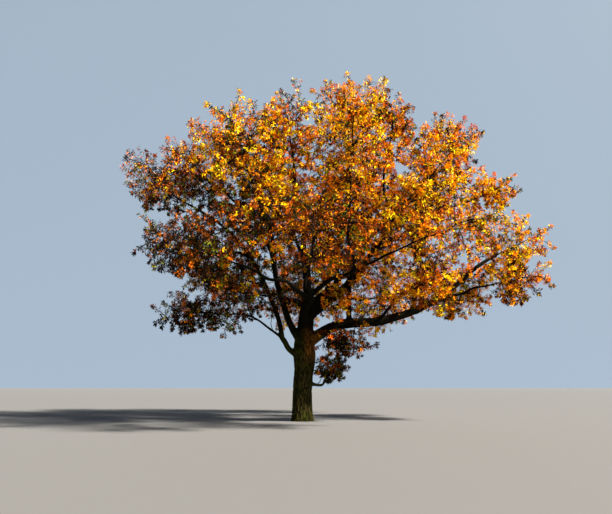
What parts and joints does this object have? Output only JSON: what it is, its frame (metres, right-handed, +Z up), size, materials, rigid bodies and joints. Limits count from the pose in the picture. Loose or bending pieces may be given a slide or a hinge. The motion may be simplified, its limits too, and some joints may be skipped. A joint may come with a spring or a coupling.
{
  "type": "oak tree",
  "caption": "Broad open-grown oak in autumn leaf: short trunk, a long low limb to one side, and a wide domed crown of foliage on spreading boughs.",
  "frame": {"origin": "middle of the flat cut under the trunk, at ground level", "axes": "+Z up the trunk, +X towards the long low limb, on the right seen from the front, which is -Y"},
  "size_m": [20.1863, 18.1042, 16.7062],
  "materials": {
    "bark": "rough ridged dark grey-brown oak bark with a green cast of algae",
    "gold_leaves": "golden yellow autumn oak leaves, satin",
    "amber_leaves": "amber orange autumn oak leaves, satin",
    "rust_leaves": "rust brown autumn oak leaves, satin",
    "russet_leaves": "dark russet autumn oak leaves, matt"
  },
  "bodies": {
    "root": {"trunk": "bark", "left_far_bough": "bark", "left_edge_bough": "bark", "left_shelf_bough": "bark", "left_low_bough": "bark", "left_shoulder_bough": "bark", "left_crest_bough": "bark", "front_mid_left_bough": "bark", "top_left_bough": "bark", "back_mid_left_bough": "bark", "top_bough": "bark", "right_crest_bough": "bark", "top_right_bough": "bark", "right_arm_bough": "bark", "front_mid_right_bough": "bark", "right_edge_bough": "bark", "right_tip_bough": "bark", "right_low_bough": "bark", "right_skirt_bough": "bark", "under_limb_bough": "bark", "front_low_bough": "bark", "front_low_left_bough": "bark", "front_low_right_bough": "bark", "front_mid_bough": "bark", "back_low_bough": "bark", "back_low_left_bough": "bark", "back_low_right_bough": "bark", "back_mid_right_bough": "bark", "back_mid_bough": "bark", "low_branch_bough": "bark", "left_far_leaves": "rust_leaves", "left_edge_leaves": "russet_leaves", "left_shelf_leaves": "russet_leaves", "left_low_leaves": "russet_leaves", "left_shoulder_leaves": "russet_leaves", "left_crest_leaves": "rust_leaves", "front_mid_left_leaves": "gold_leaves", "top_left_leaves": "amber_leaves", "back_mid_left_leaves": "amber_leaves", "top_leaves": "amber_leaves", "right_crest_leaves": "amber_leaves", "top_right_leaves": "amber_leaves", "right_arm_leaves": "gold_leaves", "front_mid_right_leaves": "gold_leaves", "right_edge_leaves": "gold_leaves", "right_tip_leaves": "amber_leaves", "right_low_leaves": "gold_leaves", "right_skirt_leaves": "amber_leaves", "under_limb_leaves": "russet_leaves", "front_low_leaves": "rust_leaves", "front_low_left_leaves": "russet_leaves", "front_low_right_leaves": "amber_leaves", "front_mid_leaves": "gold_leaves", "back_low_leaves": "amber_leaves", "back_low_left_leaves": "rust_leaves", "back_low_right_leaves": "amber_leaves", "back_mid_right_leaves": "gold_leaves", "back_mid_leaves": "amber_leaves", "low_branch_leaves": "russet_leaves"}
  },
  "joints": []
}
